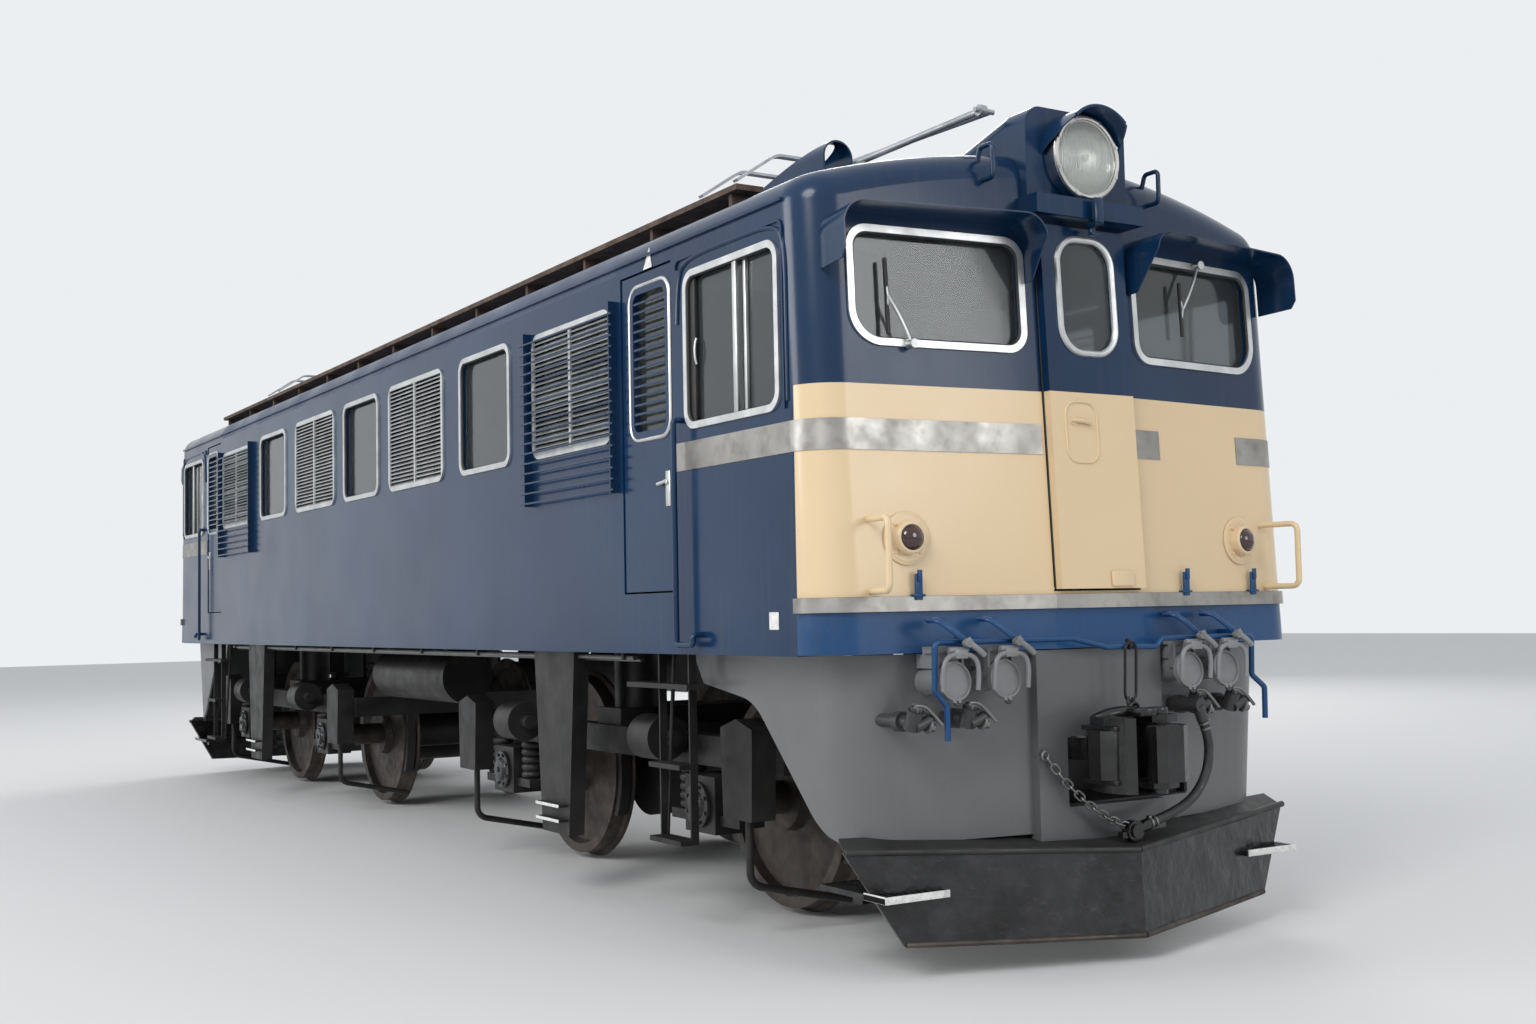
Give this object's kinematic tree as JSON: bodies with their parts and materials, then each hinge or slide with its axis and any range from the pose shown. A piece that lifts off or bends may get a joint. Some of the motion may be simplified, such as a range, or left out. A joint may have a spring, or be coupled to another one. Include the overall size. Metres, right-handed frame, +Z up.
{
  "type": "electric locomotive",
  "caption": "Four-axle electric locomotive on two swivelling bogies, with folding pantographs, opening cab doors and swinging couplers.",
  "frame": {"origin": "centre of the locomotive's plan, at the level of the wheel flange tips", "axes": "+X along the track towards the front nose, +Y to the left side, +Z up"},
  "size_m": [13, 2.938, 3.898],
  "materials": {
    "board_wood": "weathered",
    "body_blue": "gloss",
    "bogie_black": "matte",
    "cab_green": "satin",
    "hose_rubber": "matte",
    "lamp_rim": "polished",
    "machine_grey": "satin",
    "nose_paint": "gloss",
    "pantograph_grey": "satin",
    "porcelain": "glazed",
    "roof_blue": "satin",
    "skirt_grey": "satin",
    "stainless": "brushed",
    "underframe_black": "satin",
    "wheel_steel": "worn",
    "window_glass": "clear"
  },
  "bodies": {
    "body": {"underframe": "underframe_black", "side_wall_right": "body_blue", "side_wall_left": "body_blue", "cab_end_front": "nose_paint", "cab_end_rear": "nose_paint", "cab_roofs": "body_blue", "machine_roof": "roof_blue", "buffer_beams": "body_blue", "bright_trim": "stainless", "skirts": "skirt_grey", "ploughs": "underframe_black", "headlight_housings": "body_blue", "headlamps": "lamp_rim", "marker_lamps": "nose_paint", "window_hoods": "body_blue", "window_frames": "stainless", "panes": "window_glass", "louvres": "stainless", "guard_bars": "body_blue", "cab_fittings": "cab_green", "machine_room": "machine_grey", "roof_hatches": "roof_blue", "running_boards": "board_wood", "horn_covers": "body_blue", "pantograph_bases": "pantograph_grey", "insulators": "porcelain", "end_fittings": "underframe_black", "handrails": "body_blue", "crew_steps": "underframe_black", "underfloor_gear": "underframe_black", "brake_hose": "hose_rubber", "gladhand": "underframe_black"},
    "bogie_front": {"bogie_front_frame": "bogie_black", "bogie_front_gear": "bogie_black"},
    "bogie_rear": {"bogie_rear_frame": "bogie_black", "bogie_rear_gear": "bogie_black"},
    "wheelset_1": {"wheelset_1": "wheel_steel"},
    "wheelset_2": {"wheelset_2": "wheel_steel"},
    "wheelset_3": {"wheelset_3": "wheel_steel"},
    "wheelset_4": {"wheelset_4": "wheel_steel"},
    "coupler_front": {"coupler_front": "bogie_black"},
    "knuckle_front": {"knuckle_front": "bogie_black"},
    "gangway_door_front": {"gangway_door_front": "nose_paint"},
    "coupler_rear": {"coupler_rear": "bogie_black"},
    "knuckle_rear": {"knuckle_rear": "bogie_black"},
    "gangway_door_rear": {"gangway_door_rear": "nose_paint"},
    "crew_door_front_right": {"crew_door_front_right": "body_blue"},
    "crew_door_front_left": {"crew_door_front_left": "body_blue"},
    "crew_door_rear_right": {"crew_door_rear_right": "body_blue"},
    "crew_door_rear_left": {"crew_door_rear_left": "body_blue"},
    "pantograph_front_lower_lead": {"pantograph_front_lower_lead": "pantograph_grey"},
    "pantograph_front_upper_lead": {"pantograph_front_upper_lead": "pantograph_grey"},
    "pantograph_front_lower_trail": {"pantograph_front_lower_trail": "pantograph_grey"},
    "pantograph_front_upper_trail": {"pantograph_front_upper_trail": "pantograph_grey"},
    "pantograph_front_head": {"pantograph_front_head": "pantograph_grey"},
    "pantograph_rear_lower_lead": {"pantograph_rear_lower_lead": "pantograph_grey"},
    "pantograph_rear_upper_lead": {"pantograph_rear_upper_lead": "pantograph_grey"},
    "pantograph_rear_lower_trail": {"pantograph_rear_lower_trail": "pantograph_grey"},
    "pantograph_rear_upper_trail": {"pantograph_rear_upper_trail": "pantograph_grey"},
    "pantograph_rear_head": {"pantograph_rear_head": "pantograph_grey"}
  },
  "joints": [
    {"name": "bogie_front_turn", "type": "hinge", "parent": "body", "child": "bogie_front", "pos_m": [3.175, 0, 1], "axis": [0, 0, 1], "range_deg": [-3, 3]},
    {"name": "bogie_rear_turn", "type": "hinge", "parent": "body", "child": "bogie_rear", "pos_m": [-3.175, 0, 1], "axis": [0, 0, 1], "range_deg": [-3, 3]},
    {"name": "wheelset_1_roll", "type": "hinge", "parent": "bogie_front", "child": "wheelset_1", "pos_m": [4.425, 0, 0.588], "axis": [0, 1, 0], "continuous": true},
    {"name": "wheelset_2_roll", "type": "hinge", "parent": "bogie_front", "child": "wheelset_2", "pos_m": [1.925, 0, 0.588], "axis": [0, 1, 0], "continuous": true},
    {"name": "wheelset_3_roll", "type": "hinge", "parent": "bogie_rear", "child": "wheelset_3", "pos_m": [-1.925, 0, 0.588], "axis": [0, 1, 0], "continuous": true},
    {"name": "wheelset_4_roll", "type": "hinge", "parent": "bogie_rear", "child": "wheelset_4", "pos_m": [-4.425, 0, 0.588], "axis": [0, 1, 0], "continuous": true},
    {"name": "coupler_front_swing", "type": "hinge", "parent": "body", "child": "coupler_front", "pos_m": [5.69, 0, 0.89], "axis": [0, 0, 1], "range_deg": [-6, 6]},
    {"name": "knuckle_front_open", "type": "hinge", "parent": "coupler_front", "child": "knuckle_front", "pos_m": [6.33, 0.115, 0.89], "axis": [0, 0, 1], "range_deg": [0, 35]},
    {"name": "gangway_door_front_swing", "type": "hinge", "parent": "body", "child": "gangway_door_front", "pos_m": [6.098, 0.244, 1.604], "axis": [-0.0499, 0, 0.9988], "range_deg": [-85, 0]},
    {"name": "coupler_rear_swing", "type": "hinge", "parent": "body", "child": "coupler_rear", "pos_m": [-5.69, 0, 0.89], "axis": [0, 0, 1], "range_deg": [-6, 6]},
    {"name": "knuckle_rear_open", "type": "hinge", "parent": "coupler_rear", "child": "knuckle_rear", "pos_m": [-6.33, -0.115, 0.89], "axis": [0, 0, 1], "range_deg": [0, 35]},
    {"name": "gangway_door_rear_swing", "type": "hinge", "parent": "body", "child": "gangway_door_rear", "pos_m": [-6.098, -0.244, 1.604], "axis": [0.0499, 0, 0.9988], "range_deg": [-85, 0]},
    {"name": "crew_door_front_right_swing", "type": "hinge", "parent": "body", "child": "crew_door_front_right", "pos_m": [4.206, -1.346, 1.64], "axis": [0, 0, 1], "range_deg": [0, 85]},
    {"name": "crew_door_front_left_swing", "type": "hinge", "parent": "body", "child": "crew_door_front_left", "pos_m": [4.206, 1.346, 1.64], "axis": [0, 0, 1], "range_deg": [-85, 0]},
    {"name": "crew_door_rear_right_swing", "type": "hinge", "parent": "body", "child": "crew_door_rear_right", "pos_m": [-4.206, -1.346, 1.64], "axis": [0, 0, 1], "range_deg": [-85, 0]},
    {"name": "crew_door_rear_left_swing", "type": "hinge", "parent": "body", "child": "crew_door_rear_left", "pos_m": [-4.206, 1.346, 1.64], "axis": [0, 0, 1], "range_deg": [0, 85]},
    {"name": "pantograph_front_lower_lead_raise", "type": "hinge", "parent": "body", "child": "pantograph_front_lower_lead", "pos_m": [4.48, 0, 3.745], "axis": [0, -1, 0], "range_deg": [0, 50]},
    {"name": "pantograph_front_upper_lead_fold", "type": "hinge", "parent": "pantograph_front_lower_lead", "child": "pantograph_front_upper_lead", "pos_m": [5.81, 0, 3.807], "axis": [0, 1, 0], "range_deg": [0, 100]},
    {"name": "pantograph_front_lower_trail_raise", "type": "hinge", "parent": "body", "child": "pantograph_front_lower_trail", "pos_m": [4.12, 0, 3.745], "axis": [0, 1, 0], "range_deg": [0, 50]},
    {"name": "pantograph_front_upper_trail_fold", "type": "hinge", "parent": "pantograph_front_lower_trail", "child": "pantograph_front_upper_trail", "pos_m": [2.79, 0, 3.807], "axis": [0, -1, 0], "range_deg": [0, 100]},
    {"name": "pantograph_front_head_level", "type": "hinge", "parent": "pantograph_front_upper_lead", "child": "pantograph_front_head", "pos_m": [4.48, 0, 3.869], "axis": [0, -1, 0], "range_deg": [0, 50]},
    {"name": "pantograph_rear_lower_lead_raise", "type": "hinge", "parent": "body", "child": "pantograph_rear_lower_lead", "pos_m": [-4.12, 0, 3.745], "axis": [0, -1, 0], "range_deg": [0, 50]},
    {"name": "pantograph_rear_upper_lead_fold", "type": "hinge", "parent": "pantograph_rear_lower_lead", "child": "pantograph_rear_upper_lead", "pos_m": [-2.79, 0, 3.807], "axis": [0, 1, 0], "range_deg": [0, 100]},
    {"name": "pantograph_rear_lower_trail_raise", "type": "hinge", "parent": "body", "child": "pantograph_rear_lower_trail", "pos_m": [-4.48, 0, 3.745], "axis": [0, 1, 0], "range_deg": [0, 50]},
    {"name": "pantograph_rear_upper_trail_fold", "type": "hinge", "parent": "pantograph_rear_lower_trail", "child": "pantograph_rear_upper_trail", "pos_m": [-5.81, 0, 3.807], "axis": [0, -1, 0], "range_deg": [0, 100]},
    {"name": "pantograph_rear_head_level", "type": "hinge", "parent": "pantograph_rear_upper_lead", "child": "pantograph_rear_head", "pos_m": [-4.12, 0, 3.869], "axis": [0, -1, 0], "range_deg": [0, 50]}
  ],
  "couplings": [
    {"joint": "pantograph_front_lower_trail_raise", "follows": "pantograph_front_lower_lead_raise", "ratio": 1},
    {"joint": "pantograph_front_upper_lead_fold", "follows": "pantograph_front_lower_lead_raise", "ratio": 2},
    {"joint": "pantograph_front_upper_trail_fold", "follows": "pantograph_front_lower_lead_raise", "ratio": 2},
    {"joint": "pantograph_front_head_level", "follows": "pantograph_front_lower_lead_raise", "ratio": 1},
    {"joint": "pantograph_rear_lower_trail_raise", "follows": "pantograph_rear_lower_lead_raise", "ratio": 1},
    {"joint": "pantograph_rear_upper_lead_fold", "follows": "pantograph_rear_lower_lead_raise", "ratio": 2},
    {"joint": "pantograph_rear_upper_trail_fold", "follows": "pantograph_rear_lower_lead_raise", "ratio": 2},
    {"joint": "pantograph_rear_head_level", "follows": "pantograph_rear_lower_lead_raise", "ratio": 1}
  ]
}
